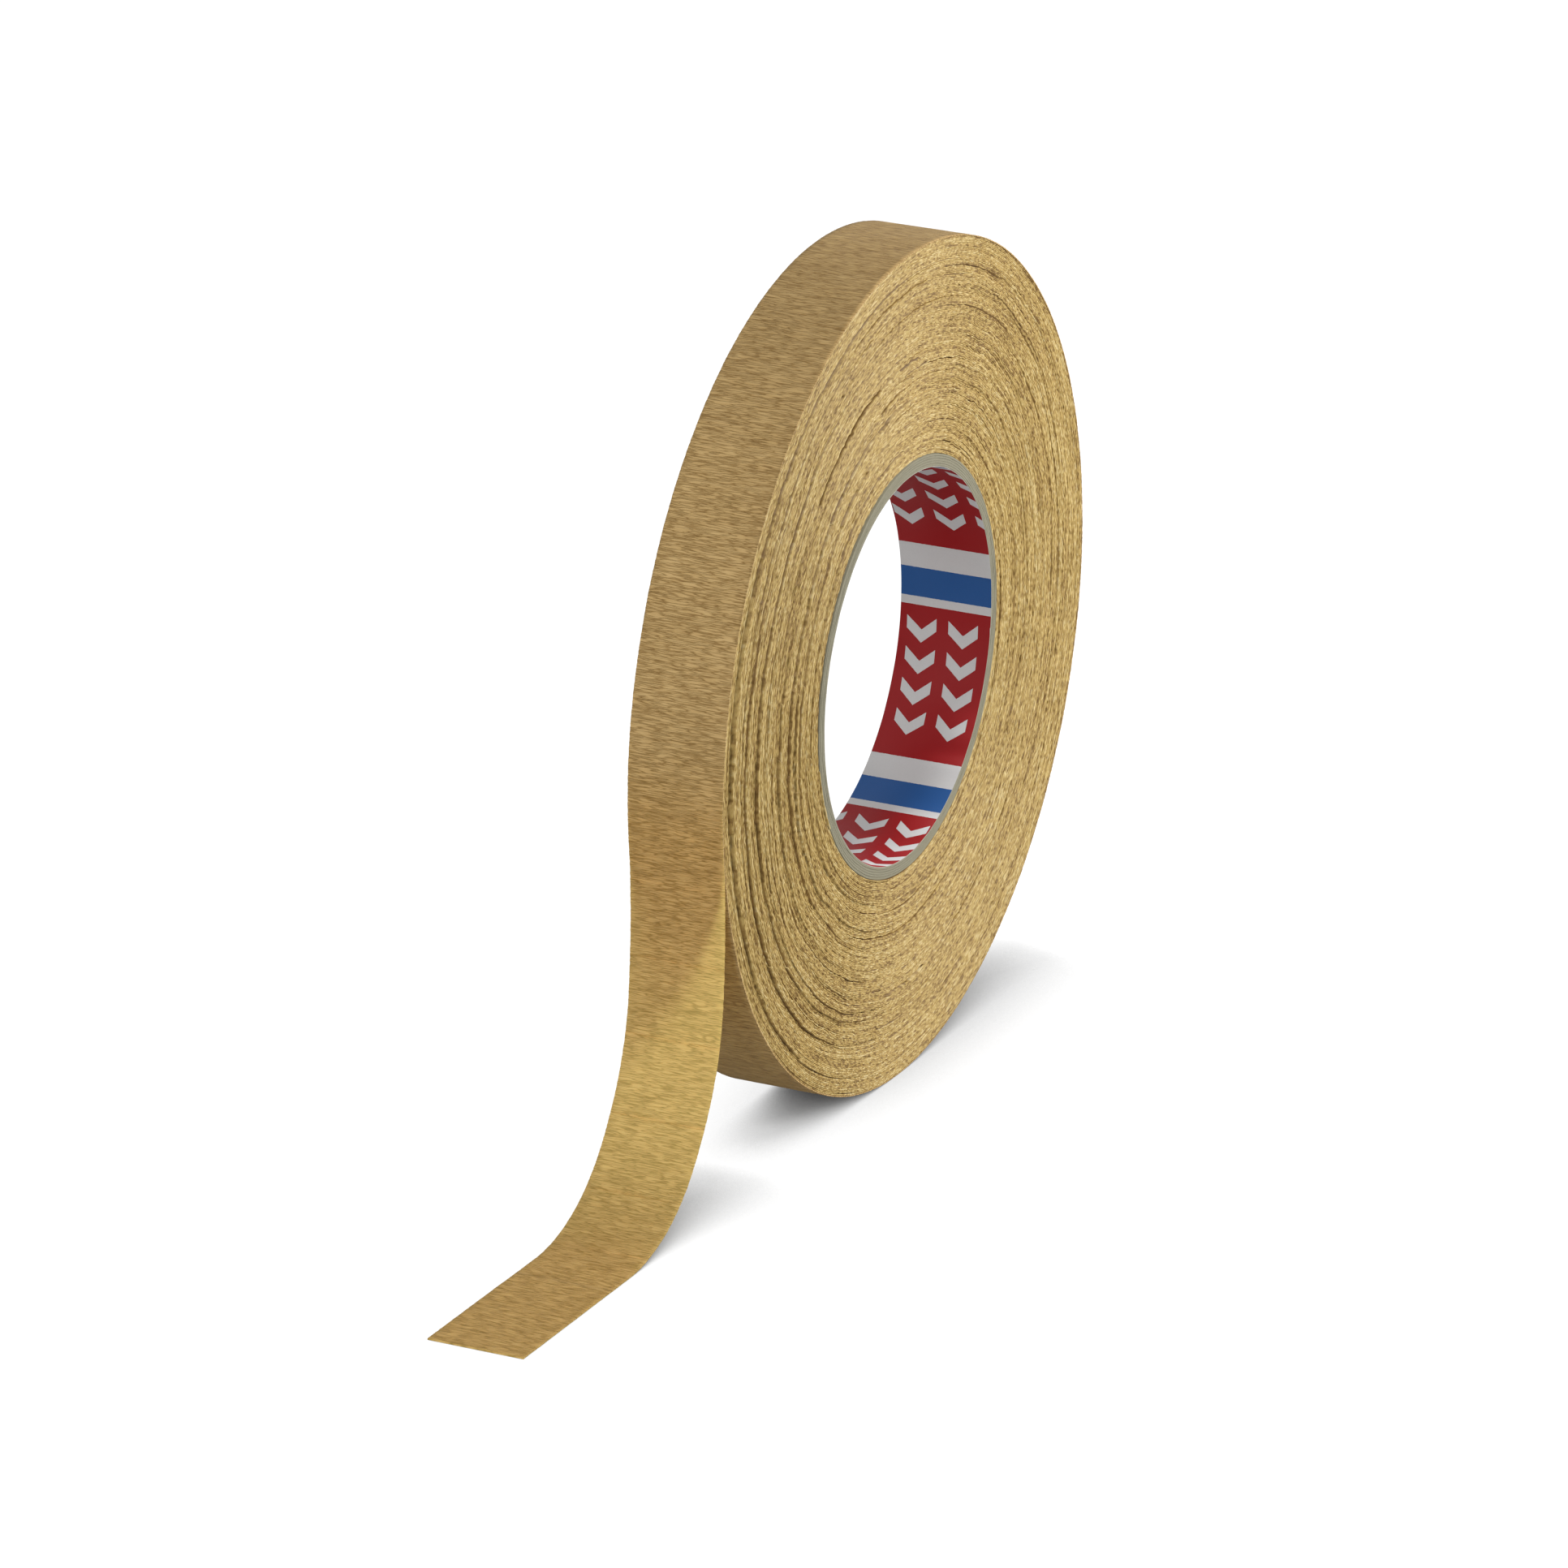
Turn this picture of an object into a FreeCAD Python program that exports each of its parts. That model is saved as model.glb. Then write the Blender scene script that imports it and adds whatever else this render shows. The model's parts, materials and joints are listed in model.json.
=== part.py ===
"""Roll of 19 mm crepe masking tape on a 76 mm board core, standing on its rim with a loose tail.

The roll's axis is Y, the origin is the centre of the core's bore and +Z is up. The tail leaves the roll
on its -X side, hangs down, sweeps away from the roll and lies flat at the height of the roll's lowest line.
Each function below makes one kind of piece, and every piece is written to its own STEP file.
"""

import FreeCAD, Part
import math
import os

# Core: a spiral-wound board tube with a thin printed liner on its inside.
BORE_RADIUS = 38.1
LINER_THICKNESS = 0.15
PLY_COUNT = 5
PLY_THICKNESS = 0.45
GLUE_LINE = 0.02
SEAM_GAP = 0.3
SEAM_SLANT = 61.0  # between a ply's butt seam and the roll's axis
SEAM_STAGGER = 137.0  # from one ply's seam to the next

# Tape: crepe paper backing with an adhesive layer on its inner side.
TAPE_WIDTH = 19.0
BACKING_THICKNESS = 0.21
ADHESIVE_THICKNESS = 0.05
BOND_LINE = 0.01
TAPE_THICKNESS = BACKING_THICKNESS + BOND_LINE + ADHESIVE_THICKNESS

# Winding.
ROLL_RADIUS = 82.4  # to the outside of the tape, at the line where the tail leaves
HALF_TURNS = 253  # laps under the outer lap, counted in half turns
LAP_CLEARANCE = 0.05  # between the wound laps and the outer lap
SLIDE_CLEARANCE = 0.02  # between the outer lap and the tape that lies on it

# Tail. The peel line is where the tape leaves the roll, and angles run from +X towards +Z.
PEEL_ANGLE = 189.0
LEAD_SPAN = 30.0  # arc of tape before the peel line that still lies on the roll
LEAD_EDGE = 0.03  # backing left at the lead's feathered end
LINK_TURNS = (7.0, 5.0, 20.0, 16.0, 27.0, 24.0)  # how far each curved link bends away from the roll
END_LENGTH = 42.8  # flat end, cut straight across
HINGE_GAP = TAPE_THICKNESS / 2 + 0.02  # a link starts this far past its hinge line, so that it can fold

# Worked out from the sizes above.
CORE_RADIUS = BORE_RADIUS + LINER_THICKNESS + PLY_COUNT * (PLY_THICKNESS + GLUE_LINE)
TAIL_INNER_RADIUS = ROLL_RADIUS - TAPE_THICKNESS
OUTER_LAP_RADIUS = TAIL_INNER_RADIUS - SLIDE_CLEARANCE
WOUND_RADIUS = OUTER_LAP_RADIUS - TAPE_THICKNESS - LAP_CLEARANCE
ADHESIVE_LAYER = (-TAPE_THICKNESS / 2, -TAPE_THICKNESS / 2 + ADHESIVE_THICKNESS)
BACKING_LAYER = (TAPE_THICKNESS / 2 - BACKING_THICKNESS, TAPE_THICKNESS / 2)


def polar(radius, angle):
    """A point in the roll's middle plane, its angle in degrees from +X towards +Z."""
    a = math.radians(angle)
    return FreeCAD.Vector(radius * math.cos(a), 0, radius * math.sin(a))


def across(outline):
    """The solid that a flat outline in the middle plane makes over the tape's width."""
    face = Part.Face(outline)
    face.translate(FreeCAD.Vector(0, -TAPE_WIDTH / 2, 0))
    return face.extrude(FreeCAD.Vector(0, TAPE_WIDTH, 0))


def arc(points):
    """The circular arc through three points."""
    return Part.Arc(*points).toShape()


def ring(inner_radius, outer_radius):
    """A plain tube as wide as the tape."""
    axis = FreeCAD.Vector(0, 1, 0)
    start = FreeCAD.Vector(0, -TAPE_WIDTH / 2, 0)
    tube = Part.makeCylinder(outer_radius, TAPE_WIDTH, start, axis)
    return tube.cut(Part.makeCylinder(inner_radius, TAPE_WIDTH, start, axis)).Solids[0]


def core_ply(number):
    """One board ply: a tube slit by the slanted butt seam where the edges of its strip meet."""
    inner_radius = BORE_RADIUS + LINER_THICKNESS + GLUE_LINE + number * (PLY_THICKNESS + GLUE_LINE)
    length = 4 * TAPE_WIDTH
    blade = Part.makeBox(2 * BORE_RADIUS, length, SEAM_GAP)
    blade.translate(FreeCAD.Vector(0, -length / 2, -SEAM_GAP / 2))
    blade.rotate(FreeCAD.Vector(), FreeCAD.Vector(1, 0, 0), SEAM_SLANT)
    blade.rotate(FreeCAD.Vector(), FreeCAD.Vector(0, 1, 0), number * SEAM_STAGGER)
    return ring(inner_radius, inner_radius + PLY_THICKNESS).cut(blade).Solids[0]


def spiral_side(first_radius, step, first_angle):
    """One side of the wound strip: half circles about two centres, a quarter of the lap pitch off the axis."""
    edges = []
    for half_turn in range(HALF_TURNS):
        side = -1 if half_turn % 2 == 0 else 1
        centre = polar(side * step / 2, first_angle)
        radius = first_radius + half_turn * step
        angle = first_angle + 180 * half_turn
        edges.append(arc([centre + polar(radius, angle + turn) for turn in (0, 90, 180)]))
    return edges


def wound_tape():
    """The laps on the core: one long strip wound as a spiral that ends under the peel line."""
    room = WOUND_RADIUS - CORE_RADIUS - GLUE_LINE - TAPE_THICKNESS
    step = room / HALF_TURNS
    first_angle = PEEL_ANGLE - 180 * HALF_TURNS
    inner_radius = CORE_RADIUS + GLUE_LINE + step / 2
    inner = spiral_side(inner_radius, step, first_angle)
    outer = spiral_side(inner_radius + TAPE_THICKNESS, step, first_angle)
    start = Part.makeLine(outer[0].firstVertex().Point, inner[0].firstVertex().Point)
    end = Part.makeLine(inner[-1].lastVertex().Point, outer[-1].lastVertex().Point)
    return across(Part.Wire([start] + inner + [end] + outer[::-1]))


def lead_layer(layer, feathered):
    """A layer of the tape that lies on the roll up to the peel line. The backing thins out towards the lap."""
    middle = ROLL_RADIUS - TAPE_THICKNESS / 2
    inner, outer = (middle + offset for offset in layer)
    first_angle = PEEL_ANGLE - LEAD_SPAN
    angles = (first_angle, PEEL_ANGLE - LEAD_SPAN / 2, PEEL_ANGLE)
    start = inner + LEAD_EDGE if feathered else outer
    tops = (start, (start + outer) / 2, outer)
    below = [polar(inner, angle) for angle in angles]
    above = [polar(top, angle) for top, angle in zip(tops, angles)]
    sides = [Part.makeLine(below[-1], above[-1]), Part.makeLine(above[0], below[0])]
    return across(Part.Wire([arc(below), sides[0], arc(above), sides[1]]))


def heading_vector(heading):
    """The tail's direction, its angle in degrees from straight down towards -X."""
    return -polar(1, 90 - heading)


def outward(heading):
    """The tail's normal on the side away from the roll."""
    return polar(1, 180 - heading)


def path_point(hinge, heading, length, turn, distance, offset):
    """A point on a link: distance along it from its hinge, and offset outwards from its middle layer."""
    if turn == 0:
        return hinge + heading_vector(heading) * distance + outward(heading) * offset
    bend_radius = length / math.radians(turn)
    centre = hinge + outward(heading) * bend_radius
    return centre - outward(heading + turn * distance / length) * (bend_radius - offset)


def curved_link_length(start_height, start_heading):
    """The curved links' length that brings the flat end down to the roll's lowest line."""
    drop_per_length = 0
    heading = math.radians(start_heading)
    for turn in map(math.radians, LINK_TURNS):
        drop_per_length += (math.sin(heading + turn) - math.sin(heading)) / turn
        heading += turn
    end_height = TAPE_THICKNESS / 2 - OUTER_LAP_RADIUS
    return (start_height - end_height) / drop_per_length


def tail_links():
    """Each link of the tail as (hinge point, heading at the hinge, length, turn)."""
    hinge = polar(ROLL_RADIUS - TAPE_THICKNESS / 2, PEEL_ANGLE)
    heading = 180.0 - PEEL_ANGLE
    length = curved_link_length(hinge.z, heading)
    links = []
    for turn in LINK_TURNS:
        links.append((hinge, heading, length, turn))
        hinge = path_point(hinge, heading, length, turn, length, 0)
        heading += turn
    links.append((hinge, heading, END_LENGTH, 0))
    return links


def link_layer(link, layer):
    """One layer of one link of the tail, from just past its hinge line to the next one."""
    length = link[2]
    stops = (HINGE_GAP, (HINGE_GAP + length) / 2, length)
    below, above = ([path_point(*link, stop, offset) for stop in stops] for offset in layer)
    if link[3] == 0:
        return across(Part.makePolygon([below[0], below[-1], above[-1], above[0], below[0]]))
    sides = [Part.makeLine(below[-1], above[-1]), Part.makeLine(above[0], below[0])]
    return across(Part.Wire([arc(below), sides[0], arc(above), sides[1]]))


def all_pieces():
    """Every piece by its node's name."""
    pieces = {"core_liner": ring(BORE_RADIUS, BORE_RADIUS + LINER_THICKNESS)}
    for number in range(PLY_COUNT):
        pieces[f"core_ply_{number + 1}"] = core_ply(number)
    pieces["wound_tape"] = wound_tape()
    pieces["outer_lap"] = ring(OUTER_LAP_RADIUS - TAPE_THICKNESS, OUTER_LAP_RADIUS)
    pieces["lead_backing"] = lead_layer(BACKING_LAYER, feathered=True)
    pieces["lead_adhesive"] = lead_layer(ADHESIVE_LAYER, feathered=False)
    for number, link in enumerate(tail_links(), start=1):
        pieces[f"tail_{number}_backing"] = link_layer(link, BACKING_LAYER)
        pieces[f"tail_{number}_adhesive"] = link_layer(link, ADHESIVE_LAYER)
    return pieces


os.makedirs("parts", exist_ok=True)
for name, solid in all_pieces().items():
    solid.exportStep(f"parts/{name}.step")
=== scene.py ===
import json
import math

import bpy
import numpy as np
from mathutils import Matrix, Vector


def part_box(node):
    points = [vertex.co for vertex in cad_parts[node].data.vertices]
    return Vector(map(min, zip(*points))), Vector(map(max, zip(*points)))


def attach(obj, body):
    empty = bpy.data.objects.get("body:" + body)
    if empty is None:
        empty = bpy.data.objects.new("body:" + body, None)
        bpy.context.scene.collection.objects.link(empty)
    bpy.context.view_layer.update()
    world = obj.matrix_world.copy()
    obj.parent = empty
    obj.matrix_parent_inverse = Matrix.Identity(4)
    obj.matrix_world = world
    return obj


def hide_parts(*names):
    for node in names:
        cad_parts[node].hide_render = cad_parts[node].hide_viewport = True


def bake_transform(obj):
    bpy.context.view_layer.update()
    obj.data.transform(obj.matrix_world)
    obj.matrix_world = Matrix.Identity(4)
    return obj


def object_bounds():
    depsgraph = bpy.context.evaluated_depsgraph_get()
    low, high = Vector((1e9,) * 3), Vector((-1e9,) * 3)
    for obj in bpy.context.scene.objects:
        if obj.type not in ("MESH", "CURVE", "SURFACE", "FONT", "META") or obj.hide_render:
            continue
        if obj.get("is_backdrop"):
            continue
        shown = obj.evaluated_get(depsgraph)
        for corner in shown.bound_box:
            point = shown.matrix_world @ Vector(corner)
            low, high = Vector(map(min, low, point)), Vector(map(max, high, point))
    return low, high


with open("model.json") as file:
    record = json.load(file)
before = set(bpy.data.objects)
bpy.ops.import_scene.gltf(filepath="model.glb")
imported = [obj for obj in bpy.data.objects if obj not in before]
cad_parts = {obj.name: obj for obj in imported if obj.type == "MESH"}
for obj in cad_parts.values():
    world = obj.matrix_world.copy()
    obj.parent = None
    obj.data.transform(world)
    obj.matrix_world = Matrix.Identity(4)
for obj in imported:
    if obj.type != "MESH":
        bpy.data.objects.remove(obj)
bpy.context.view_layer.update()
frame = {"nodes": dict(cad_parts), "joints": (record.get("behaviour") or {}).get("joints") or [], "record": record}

# Sizes read from the frame, in metres.
MM = 0.001
MOUNTS = {mount["name"]: mount for mount in frame["record"]["mounts"]}
JOINTS = {joint["name"]: joint for joint in frame["joints"]}
HALF_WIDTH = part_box("outer_lap")[1].y
BORE_RADIUS = MOUNTS["core_bore"]["dims"]["r_mm"] * MM
LINER_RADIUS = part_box("core_liner")[1].z
PLY_NAMES = sorted(name for name in frame["nodes"] if name.startswith("core_ply"))
CORE_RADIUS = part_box(PLY_NAMES[-1])[1].z
LAP_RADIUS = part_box("outer_lap")[1].z

# The tape.
TAPE_THICKNESS = 0.27 * MM
LAP_COUNT = 127  # laps between the core and the outer lap
LAP_PITCH = (LAP_RADIUS - TAPE_THICKNESS - CORE_RADIUS) / LAP_COUNT
BAND_COUNT = 18  # rings of neighbouring laps, each a mesh of its own
EDGE_STEP = 0.25 * MM  # between points along a lap's edge
LAP_STEP = 0.14 * MM  # between points along the outer lap's face
TAIL_STEP = 0.10 * MM  # between points along the tail's face
CREPE_HEIGHT = 0.06 * MM
UNDERSIDE_RELIEF = 0.25  # share of the crepe's height on the sticky side, where adhesive fills most of the creases
SHEET_ROWS = 23  # points across the tape's face
HIDDEN_ROWS = 2  # points across the outer lap's inner side, which can't be seen

BAKE_LAYER = "OFBake"
BAKE_FOLDS = 8  # strips that a long ring is cut into in the bake layer
BAKE_MARGIN = 0.01


# ---------------------------------------------------------------- noise

X_PRIME, Y_PRIME, SEED_PRIME, MIX_PRIME = 374761393, 668265263, 2246822519, 1274126177
ROW_OFFSET = 4096  # keeps the lattice's rows above nought


def lattice(ix, iy, seed):
    """A repeatable random number from -1 to 1 for each pair of whole numbers."""
    h = ix.astype(np.uint32) * np.uint32(X_PRIME)
    h = h + iy.astype(np.uint32) * np.uint32(Y_PRIME) + np.uint32(seed * SEED_PRIME % 2**32)
    h = (h ^ (h >> np.uint32(13))) * np.uint32(MIX_PRIME)
    h = h ^ (h >> np.uint32(16))
    return h.astype(np.float64) / 2**31 - 1.0


def eased(share):
    """A share from 0 to 1 with a soft start and end."""
    return share * share * (3 - 2 * share)


def noise(x, y, seed, wrap=None):
    """Smooth noise from -1 to 1. It repeats in x after wrap units, where wrap is a whole number."""
    x, y = np.broadcast_arrays(np.asarray(x, float), np.asarray(y, float))
    x0, y0 = np.floor(x), np.floor(y)
    u, v = eased(x - x0), eased(y - y0)
    left, right = x0.astype(np.int64), x0.astype(np.int64) + 1
    if wrap:
        left, right = left % wrap, right % wrap
    low = y0.astype(np.int64) + ROW_OFFSET
    bottom = lattice(left, low, seed) * (1 - u) + lattice(right, low, seed) * u
    top = lattice(left, low + 1, seed) * (1 - u) + lattice(right, low + 1, seed) * u
    return bottom * (1 - v) + top * v


def around(angle, radius, size, row, seed):
    """Noise along a circle, with features about size long, that closes on itself."""
    wrap = max(3, round(math.tau * radius / size))
    return noise(np.mod(angle, math.tau) / math.tau * wrap, row, seed, wrap)


# ---------------------------------------------------------------- meshes

def grid_mesh(name, points, closed_u, closed_v, folds=1, caps=False):
    """A mesh of quads over points[u, v], joined round in u or v where asked, with a bake layer.

    Caps close a tube that isn't joined round in u. Folds cut the bake layer into strips along u."""
    count_u, count_v = points.shape[:2]
    quads_u = count_u if closed_u else count_u - 1
    quads_v = count_v if closed_v else count_v - 1
    u, v = np.meshgrid(np.arange(quads_u), np.arange(quads_v), indexing="ij")
    u, v = u.ravel(), v.ravel()
    next_u, next_v = (u + 1) % count_u, (v + 1) % count_v
    corners = np.stack([u * count_v + v, u * count_v + next_v,
                        next_u * count_v + next_v, next_u * count_v + v], axis=1)
    mesh = bpy.data.meshes.new(name)
    mesh.vertices.add(count_u * count_v)
    mesh.vertices.foreach_set("co", points.reshape(-1).astype(np.float32))
    cap_count = 2 if caps else 0
    mesh.loops.add(corners.size + cap_count * count_v)
    mesh.polygons.add(len(corners) + cap_count)
    loops, starts = [corners.ravel()], [np.arange(len(corners)) * 4]
    if caps:
        first = np.arange(count_v)[::-1]
        last = (count_u - 1) * count_v + np.arange(count_v)
        loops += [first, last]
        starts.append(corners.size + np.array([0, count_v]))
    mesh.loops.foreach_set("vertex_index", np.concatenate(loops).astype(np.int32))
    mesh.polygons.foreach_set("loop_start", np.concatenate(starts).astype(np.int32))
    bake_u = np.stack([u, u, u + 1, u + 1], axis=1) / quads_u
    bake_v = np.stack([v, v + 1, v + 1, v], axis=1) / quads_v
    fold = np.floor(bake_u[:, :1] * folds)
    bake_v = bake_v * (1 - 2 * BAKE_MARGIN) + BAKE_MARGIN
    bake_uv = np.stack([bake_u * folds - fold, (bake_v + fold) / folds], axis=2)
    layer = mesh.uv_layers.new(name=BAKE_LAYER)
    flat = np.zeros((len(mesh.loops), 2), np.float32)
    flat[:corners.size] = bake_uv.reshape(-1, 2)
    layer.data.foreach_set("uv", flat.ravel())
    mesh.update(calc_edges=True)
    mesh.validate()
    mesh.shade_smooth()
    return mesh


def add_piece(name, mesh, materials, nodes, body=None):
    """A new piece made of mesh, standing for the CAD nodes and riding on body."""
    piece = bpy.data.objects.new(name, mesh)
    bpy.context.scene.collection.objects.link(piece)
    for material in materials:
        mesh.materials.append(material)
    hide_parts(*nodes)
    if body:
        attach(piece, body)
    return piece


def set_attribute(mesh, name, values):
    """A number on every point of a mesh, for its material to read."""
    attribute = mesh.attributes.new(name, "FLOAT", "POINT")
    attribute.data.foreach_set("value", values.astype(np.float32).ravel())


def on_circle(radius, angle, side):
    """Points at a radius and angle about the roll's axis, at a distance side along it."""
    radius, angle, side = np.broadcast_arrays(radius, angle, side)
    return np.stack([radius * np.cos(angle), side, radius * np.sin(angle)], axis=-1)


# ---------------------------------------------------------------- materials

class Shader:
    """A material's node tree, with short calls for the nodes used here."""

    def __init__(self, name):
        self.material = bpy.data.materials.new(name)
        self.material.use_nodes = True
        self.tree = self.material.node_tree
        self.bsdf = self.tree.nodes["Principled BSDF"]
        self.output = self.tree.nodes["Material Output"]
        self.position = self.add("ShaderNodeTexCoord").outputs["Object"]

    def add(self, kind, **settings):
        node = self.tree.nodes.new(kind)
        for key, value in settings.items():
            setattr(node, key, value)
        return node

    def put(self, value, socket):
        if isinstance(value, bpy.types.NodeSocket):
            self.tree.links.new(value, socket)
        else:
            socket.default_value = value

    def math(self, operation, *values):
        node = self.add("ShaderNodeMath", operation=operation)
        for value, socket in zip(values, node.inputs):
            self.put(value, socket)
        return node.outputs[0]

    def split(self, vector):
        node = self.add("ShaderNodeSeparateXYZ")
        self.put(vector, node.inputs[0])
        return node.outputs

    def join(self, x, y, z):
        node = self.add("ShaderNodeCombineXYZ")
        for value, socket in zip((x, y, z), node.inputs):
            self.put(value, socket)
        return node.outputs[0]

    def noise(self, vector, scale, detail=3.0, roughness=0.55):
        node = self.add("ShaderNodeTexNoise")
        self.put(vector, node.inputs["Vector"])
        node.inputs["Scale"].default_value = scale
        node.inputs["Detail"].default_value = detail
        node.inputs["Roughness"].default_value = roughness
        return node.outputs["Fac"]

    def weighted(self, *terms):
        """The sum of values, each times its weight, given as pairs."""
        first, *others = (self.math("MULTIPLY", value, weight) for value, weight in terms)
        for other in others:
            first = self.math("ADD", first, other)
        return first

    def from_level(self, level, value, weight):
        """A level, with a value times its weight on top."""
        return self.math("ADD", level, self.math("MULTIPLY", value, weight))

    def drawn_out(self, vector, share):
        """A place with its Y part reduced to a share, which draws noise out along Y."""
        node = self.add("ShaderNodeMapping", vector_type="POINT")
        node.inputs["Scale"].default_value = (1.0, share, 1.0)
        self.put(vector, node.inputs["Vector"])
        return node.outputs[0]

    def ramp(self, value, stops, interpolation="LINEAR"):
        node = self.add("ShaderNodeValToRGB")
        self.put(value, node.inputs[0])
        ramp = node.color_ramp
        ramp.interpolation = interpolation
        while len(ramp.elements) < len(stops):
            ramp.elements.new(1.0)
        for element, (place, colour) in zip(ramp.elements, stops):
            element.position = place
            element.color = (*colour, 1.0)
        return node.outputs[0]

    def mix(self, share, first, second, blend="MIX"):
        node = self.add("ShaderNodeMix", data_type="RGBA", blend_type=blend)
        self.put(share, node.inputs[0])
        self.put(first if isinstance(first, bpy.types.NodeSocket) else (*first, 1.0), node.inputs[6])
        self.put(second if isinstance(second, bpy.types.NodeSocket) else (*second, 1.0), node.inputs[7])
        return node.outputs[2]

    def scale(self, vector, factor):
        node = self.add("ShaderNodeVectorMath", operation="SCALE")
        self.put(vector, node.inputs[0])
        self.put(factor, node.inputs["Scale"])
        return node.outputs[0]

    def attribute(self, name):
        return self.add("ShaderNodeAttribute", attribute_name=name).outputs["Fac"]

    def attribute_vector(self, name):
        return self.add("ShaderNodeAttribute", attribute_name=name).outputs["Vector"]

    def bump(self, height, distance, strength=1.0):
        node = self.add("ShaderNodeBump")
        node.inputs["Distance"].default_value = distance
        node.inputs["Strength"].default_value = strength
        self.put(height, node.inputs["Height"])
        return node.outputs[0]

    def finish(self, colour, roughness, normal=None, specular=0.3):
        self.put(colour, self.bsdf.inputs["Base Color"])
        self.put(roughness, self.bsdf.inputs["Roughness"])
        self.bsdf.inputs["Specular IOR Level"].default_value = specular
        if normal is not None:
            self.put(normal, self.bsdf.inputs["Normal"])
        return self.material


def linear(red, green, blue):
    """A colour given in display values from 0 to 255, in the linear values that a material takes."""
    return tuple((c / 255 / 12.92) if c <= 10 else ((c / 255 + 0.055) / 1.055) ** 2.4
                 for c in (red, green, blue))


BLACK, FULL = (0.0, 0.0, 0.0), (1.0, 1.0, 1.0)
FINE_FIBRE = 4.7  # how many times finer the small fibres are than the large ones


def fibre_noise(shader, scale, place=None):
    """Paper fibres: noise mixed from two sizes. Scale is in features to the metre."""
    place = place or shader.position
    coarse = shader.noise(place, scale, detail=4.0, roughness=0.6)
    fine = shader.noise(place, scale * FINE_FIBRE, detail=3.0, roughness=0.6)
    return shader.weighted((coarse, 0.6), (fine, 0.4))


# Tones of the lap edges: the lightest stop paints glints as well as the lightest paper.
LAP_TONES_AND_GLINTS = ((0.12, linear(116, 85, 30)), (0.42, linear(176, 146, 81)),
             (0.66, linear(192, 164, 97)), (0.92, linear(218, 197, 142)))
# The colour of the painted shade down between the laps.
GAP_SHADE_TONE = linear(106, 74, 20)


def lap_edge_material():
    """The cut edges of the wound laps: straw-coloured paper, with painted shade down between the laps."""
    shader = Shader("lap_edges")
    fibre = fibre_noise(shader, 2900)
    spread = shader.weighted((shader.attribute("tone_and_glint"), 0.7), (fibre, 0.7))
    paper = shader.ramp(shader.math("SUBTRACT", spread, 0.2), LAP_TONES_AND_GLINTS)
    # Painted shade: the deeper a row lies between two laps, the nearer its colour comes to the gap's shade colour.
    dark = shader.math("MINIMUM", shader.math("POWER", shader.attribute("painted_gap_shade"), 0.8), 1.0)
    colour = shader.mix(dark, paper, GAP_SHADE_TONE)
    rough = shader.from_level(0.45, fibre, 0.3)
    return shader.finish(colour, rough, shader.bump(fibre, 0.09 * MM, 0.7), specular=0.35)


CREASES_PER_METRE = 3700
CREASE_WIDTH = 0.10  # share of the noise's range that reads as a crease
CREASE_STRETCH = 0.065
FIBRE_STRETCH = 0.3
# The dark tones paint the shade in the crepe's creases and low wrinkles.
CREPE_TONES = (linear(129, 96, 45), linear(190, 156, 100), linear(211, 179, 123))
ADHESIVE_TONES = (linear(150, 106, 38), linear(186, 142, 62), linear(208, 168, 88))
LIGHT_THROUGH = 0.58  # share of the light that comes through a free strip of tape
GLOW, ADHESIVE_GLOW = linear(250, 246, 176), linear(244, 250, 214)


def crepe_surface(shader, dark, middle, light):
    """Colour and height of crepe paper, from its wrinkle attribute and its place on the wound roll. The colour
    darkens in the creases and low wrinkles as painted shade.
    """
    lay = shader.attribute_vector("lay")
    lines = shader.noise(shader.drawn_out(lay, CREASE_STRETCH), CREASES_PER_METRE, detail=1.0, roughness=0.5)
    lines = shader.math("ABSOLUTE", shader.math("SUBTRACT", lines, 0.5))
    crease = shader.ramp(lines, [(0.0, BLACK), (CREASE_WIDTH, FULL)])
    fibre = fibre_noise(shader, 1900, shader.drawn_out(lay, FIBRE_STRETCH))
    blotch = shader.noise(lay, 120, detail=2.0, roughness=0.5)
    # Painted shade: the creases and the low wrinkles pull the tone towards the dark end, the fibres vary it at
    # random.
    tone = shader.weighted((shader.attribute("wrinkle"), 0.24), (crease, 0.48), (fibre, 0.32))
    colour = shader.ramp(tone, [(0.20, dark), (0.62, middle), (0.95, light)])
    colour = shader.mix(shader.math("MULTIPLY", blotch, 0.10), colour, middle)
    return colour, shader.weighted((crease, 0.8), (fibre, 0.2))


def let_light_through(shader, colour, glow, share):
    """Mixes in some light from behind the sheet, so that a strip of it glows where its back is lit."""
    through = shader.add("ShaderNodeBsdfTranslucent")
    shader.put(shader.mix(0.75, colour, glow), through.inputs["Color"])
    both = shader.add("ShaderNodeMixShader")
    shader.put(share, both.inputs[0])
    shader.put(shader.bsdf.outputs[0], both.inputs[1])
    shader.put(through.outputs[0], both.inputs[2])
    shader.put(both.outputs[0], shader.output.inputs["Surface"])


def crepe_material(name, share):
    """The backing's outer face. Share is how much light comes through from behind where the tape is free."""
    shader = Shader(name)
    colour, height = crepe_surface(shader, *CREPE_TONES)
    through = shader.math("MULTIPLY", shader.attribute("free"), share)
    kept = shader.math("SUBTRACT", 1.0, shader.math("MULTIPLY", through, 0.8))
    colour = shader.scale(colour, shader.math("DIVIDE", 1.0, kept))
    rough = shader.from_level(0.5, height, 0.25)
    shader.finish(colour, rough, shader.bump(height, 0.12 * MM, 0.8), specular=0.22)
    if share:
        let_light_through(shader, colour, GLOW, through)
    return shader.material


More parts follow.
